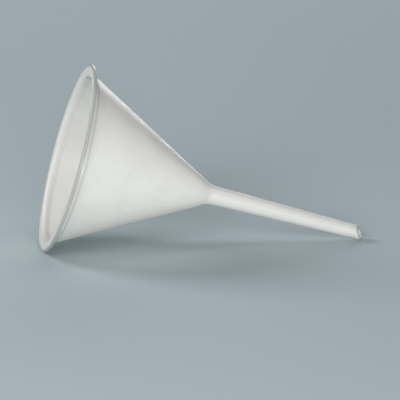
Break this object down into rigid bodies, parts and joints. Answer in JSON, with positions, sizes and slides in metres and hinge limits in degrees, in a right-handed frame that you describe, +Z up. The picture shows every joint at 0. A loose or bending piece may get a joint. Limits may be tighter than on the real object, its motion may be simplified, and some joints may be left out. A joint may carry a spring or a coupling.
{
  "type": "laboratory funnel",
  "caption": "Lightweight translucent plastic laboratory funnel: a flanged conical mouth with a short collar narrows through a smooth neck to a long tapered stem with a slanted tip.",
  "frame": {"origin": "on the bench that the funnel lies on, under the middle of its bounding box", "axes": "+Z up. The funnel's axis lies in the XZ plane, with the mouth towards -X and the stem's tip towards +X and down by 16.21 degrees, as it lies on a bench on the edge of its rim and the tip of its stem"},
  "size_m": [0.1686, 0.1, 0.0963],
  "materials": {
    "natural_polypropylene": "translucent, satin as moulded"
  },
  "bodies": {
    "root": {"rim_flange": "natural_polypropylene", "collar": "natural_polypropylene", "cone": "natural_polypropylene", "neck": "natural_polypropylene", "stem": "natural_polypropylene", "gate_mark": "natural_polypropylene"}
  },
  "joints": []
}
